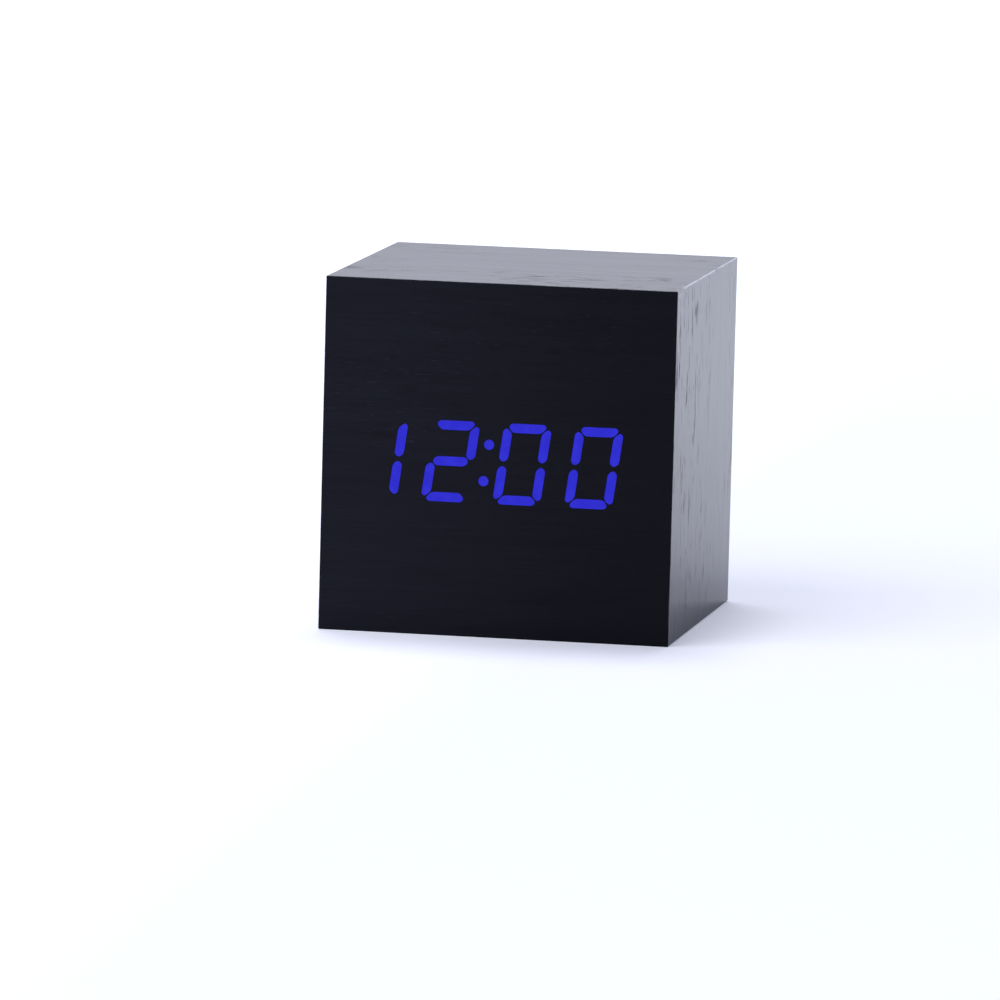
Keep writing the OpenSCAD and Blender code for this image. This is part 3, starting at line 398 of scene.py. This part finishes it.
steel = metal("steel", rgb(0.42, 0.42, 0.44), rgb(0.58, 0.58, 0.60), 0.34, (6000, 700, 700))
dress(steel, "plate_screws", "box_screws", "display_screws", "control_board_screws",
      "switch_bodies")
nickel = metal("nickel", rgb(0.58, 0.56, 0.51), rgb(0.72, 0.70, 0.65), 0.26, (300, 4000, 4000))
dress(nickel, "contact_springs", "positive_contact", "negative_contact", "left_link_contact",
      "right_link_contact", "jack_pin")
aluminium = metal("bare_aluminium", rgb(0.66, 0.66, 0.67), rgb(0.80, 0.80, 0.81), 0.36,
                  (4000, 500, 4000))
dress(aluminium, "microphone", "crystal", "capacitor")


# Cells, in metres

CELL_LENGTH = 0.0445
CELL_TIP = 0.0016
CELL_RIM = 0.0007
CELL_BAND = 0.0145
CELL_ROWS = 3
JACKET_GREY = rgb(0.36, 0.37, 0.38)
JACKET_GREEN = rgb(0.045, 0.13, 0.085)
JACKET_RUBBED = rgb(0.55, 0.54, 0.52)
CELL_STEEL = rgb(0.62, 0.61, 0.58)


def cell_jacket():
    """Cells with a pale grey jacket, a green band towards the raised end and bare steel ends.
    The middle one lies the other way round."""
    material, tree, shader = finish("cell_jacket", Specular_IOR_Level=0.5)
    x, y = axes(tree)[:2]
    low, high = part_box("battery_cells")
    half_row = (high[1] - low[1]) / (2 * CELL_ROWS)
    off_middle = calc(tree, "ABSOLUTE", y)
    way = spread(tree, off_middle, half_row * 0.98, half_row * 1.02, -1.0, 1.0)
    along = calc(tree, "MULTIPLY", x, way)
    raised = calc(tree, "GREATER_THAN", along, high[0] - CELL_TIP)
    flat = calc(tree, "LESS_THAN", along, high[0] - CELL_LENGTH + CELL_RIM)
    bare = calc(tree, "MAXIMUM", raised, flat)
    band = calc(tree, "GREATER_THAN", along, high[0] - CELL_BAND)
    rub = noise(tree, (600, 160, 160), 4.0)
    rubbed = calc(tree, "MULTIPLY", spread(tree, rub, 0.58, 0.72), 0.25)
    color = mix(tree, band, JACKET_GREY, JACKET_GREEN)
    color = mix(tree, rubbed, color, JACKET_RUBBED)
    color = mix(tree, bare, color, CELL_STEEL)
    put(tree, shader.inputs["Metallic"], bare)
    rough = spread(tree, rub, 0.2, 0.8, 0.24, 0.40)
    fine = noise(tree, even(2500))
    shade(tree, shader, color, rough, bump(tree, fine, strength=0.3, distance=0.000006))
    return material


dress(cell_jacket(), "battery_cells")


# Floor and world

FLOOR_HALF = 9.0
FLOOR_LAP = 0.0005
PAPER = rgb(0.80, 0.80, 0.81)
# Paper as reflections see it beside the cube at the front right: a painted shadow
PAPER_PAINTED_SHADE = rgb(0.69, 0.69, 0.70)
PAPER_GLOW = rgb(0.86, 0.885, 1.0)
BACK_LEFT = (-0.93, 0.37, 0.0)
# Places on the floor, in metres, between which its tones change
PAINTED_SHADE_SIDE = (-0.014, -0.022)
PAINTED_SHADE_REACH = (0.40, 0.20)
PALE_REACH = (0.10, 1.6)
PALE_LEFT = (0.016, -0.034)
BRIGHT_SIDE = (-0.040, 0.068)
BRIGHT_REACH = (0.5, 1.2)
# Strengths of the floor's own light: to the camera near and far, more on the left as painted light,
# and in reflections, where its lack beside the cube is a painted shadow
NEAR_GLOW = 0.285
FAR_GLOW = 0.62
PAINTED_LEFT_LIGHT = 0.15
MIRROR_GLOW = 0.38
WORLD_LIGHT = rgb(0.205, 0.235, 0.375)
WORLD_SEEN = rgb(0.94, 0.975, 1.13)


def rays(tree):
    """Two factors: rays that look at the backdrop directly or through glass, and rays of
    reflections."""
    path = add(tree, "ShaderNodeLightPath").outputs
    direct = calc(tree, "MAXIMUM", path["Is Camera Ray"], path["Is Transmission Ray"])
    return direct, path["Is Glossy Ray"]


def floor_paper():
    """Pale paper, paler far off, and paler on the left as painted light. Reflections see it bright
    at the back left and darker beside the cube at the front right, a painted shadow. It is clear
    from below."""
    material, tree, shader = finish("floor_paper", Roughness=0.95, Specular_IOR_Level=0.0)
    shader.inputs["Emission Color"].default_value = PAPER_GLOW
    reach = vector_value(tree, "LENGTH", {0: place(tree)})
    side = vector_value(tree, "DOT_PRODUCT", {0: place(tree), 1: BACK_LEFT})
    direct, mirrored = rays(tree)

    # Painted shadow: reflections see the floor darker beside the cube at the front right
    painted_shade = calc(tree, "MULTIPLY", spread(tree, side, *PAINTED_SHADE_SIDE), spread(tree, reach, *PAINTED_SHADE_REACH))
    painted_shade = calc(tree, "MULTIPLY", painted_shade, mirrored)
    shade(tree, shader, mix(tree, painted_shade, PAPER, PAPER_PAINTED_SHADE))

    pale = spread(tree, reach, *PALE_REACH, NEAR_GLOW, FAR_GLOW)
    # Painted light: the floor is paler on the left, where the shade in front of the cube fades
    pale = calc(tree, "ADD", pale, spread(tree, axes(tree)[0], *PALE_LEFT, 0.0, PAINTED_LEFT_LIGHT))
    direct = calc(tree, "MULTIPLY", direct, pale)
    # Painted shadow in reflections: the floor's glow reaches them only towards the back left and far
    # off, not beside the cube at the front right
    bright = spread(tree, side, *BRIGHT_SIDE)
    bright = calc(tree, "MAXIMUM", bright, spread(tree, reach, *BRIGHT_REACH))
    mirrored = calc(tree, "MULTIPLY", mirrored, calc(tree, "MULTIPLY", bright, MIRROR_GLOW))
    put(tree, shader.inputs["Emission Strength"], calc(tree, "ADD", direct, mirrored))

    below = add(tree, "ShaderNodeNewGeometry").outputs["Backfacing"]
    clear = add(tree, "ShaderNodeBsdfTransparent").outputs[0]
    sides = add(tree, "ShaderNodeMixShader", {0: below, 1: shader.outputs[0], 2: clear})
    tree.links.new(sides.outputs[0], tree.nodes["Material Output"].inputs["Surface"])
    return material


def make_floor():
    """A square floor with an opening under the base, so that the base and its door can be seen."""
    turns = [(-1, -1), (1, -1), (1, 1), (-1, 1)]
    sizes = (FLOOR_HALF, HIGH.x - FLOOR_LAP)
    corners = [(size * x, size * y, 0) for size in sizes for x, y in turns]
    faces = [(i, (i + 1) % 4, (i + 1) % 4 + 4, i + 4) for i in range(4)]
    mesh = bpy.data.meshes.new("floor")
    mesh.from_pydata(corners, [], faces)
    mesh.materials.append(floor_paper())
    floor = bpy.data.objects.new("floor", mesh)
    scene.collection.objects.link(floor)


def make_world():
    world = bpy.data.worlds.new("studio")
    world.use_nodes = True
    scene.world = world
    tree = world.node_tree
    seen = calc(tree, "MAXIMUM", *rays(tree))
    background = tree.nodes["Background"]
    put(tree, background.inputs["Color"], mix(tree, seen, WORLD_LIGHT, WORLD_SEEN))


LAMP_AIM = Vector((0, 0, 0.03))


def lamp(name, at, size, power, color):
    data = bpy.data.lights.new(name, "AREA")
    data.shape = "DISK"
    data.size = size
    data.energy = power
    data.color = color
    lamp_object = bpy.data.objects.new(name, data)
    lamp_object.location = at
    lamp_object.rotation_euler = (LAMP_AIM - Vector(at)).to_track_quat("-Z", "Y").to_euler()
    scene.collection.objects.link(lamp_object)


make_floor()
make_world()
lamp("overhead", at=(-0.18, 0.72, 2.9), size=1.2, power=42.0, color=(0.975, 0.985, 1.03))
lamp("side", at=(-2.1, -2.9, 3.5), size=4.4, power=114.0, color=(0.985, 0.99, 1.02))


# Camera at the photograph's viewing angle

def make_camera():
    yaw = math.radians(10.72)
    pitch = math.radians(7.3)
    roll = math.radians(1.48)
    distance = 1.749
    slide_x = 0.00534
    slide_y = 0.01043
    middle = Vector((0, 0, 0.031))
    level = math.cos(pitch)
    back = Vector((math.sin(yaw) * level, -math.cos(yaw) * level, math.sin(pitch)))
    flat_right = Vector((math.cos(yaw), math.sin(yaw), 0))
    flat_up = back.cross(flat_right)
    right = flat_right * math.cos(roll) + flat_up * math.sin(roll)
    up = flat_up * math.cos(roll) - flat_right * math.sin(roll)
    data = bpy.data.cameras.new("camera")
    data.sensor_fit = "HORIZONTAL"
    data.sensor_width = 36.0
    data.lens = 356.8
    data.clip_start = 0.01
    data.clip_end = 60.0
    camera = bpy.data.objects.new("camera", data)
    turn = Matrix((right, up, back)).transposed()
    where = middle - right * slide_x - up * slide_y + back * distance
    camera.matrix_world = Matrix.Translation(where) @ turn.to_4x4()
    scene.collection.objects.link(camera)
    scene.camera = camera


make_camera()
